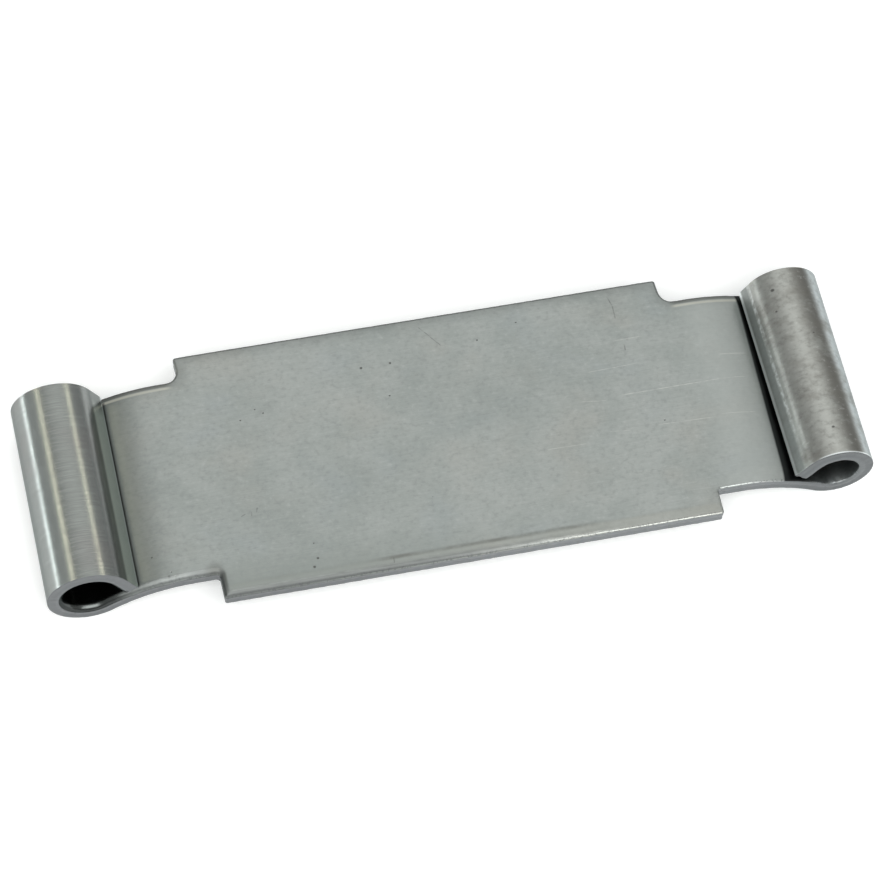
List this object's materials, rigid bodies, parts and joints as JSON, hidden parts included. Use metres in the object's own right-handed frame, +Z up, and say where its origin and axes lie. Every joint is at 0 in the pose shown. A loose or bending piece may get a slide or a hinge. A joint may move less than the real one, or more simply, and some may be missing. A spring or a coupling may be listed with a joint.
{
  "type": "strap hinge",
  "caption": "One-piece sheet-steel hinge strap: a notched flat plate whose narrower ends dip and roll up into hollow pin eyes, used as a link between pins in door, gate and fence hardware.",
  "frame": {"origin": "middle of the plate's underside, midway between the two pin axes", "axes": "+X along the strap from the left eye to the right eye, +Y along the eyes, +Z up, on the side the eyes are rolled to"},
  "size_m": [0.1123, 0.0372, 0.0113],
  "materials": {
    "steel": "satin"
  },
  "bodies": {
    "root": {"hinge_strap": "steel"}
  },
  "joints": []
}
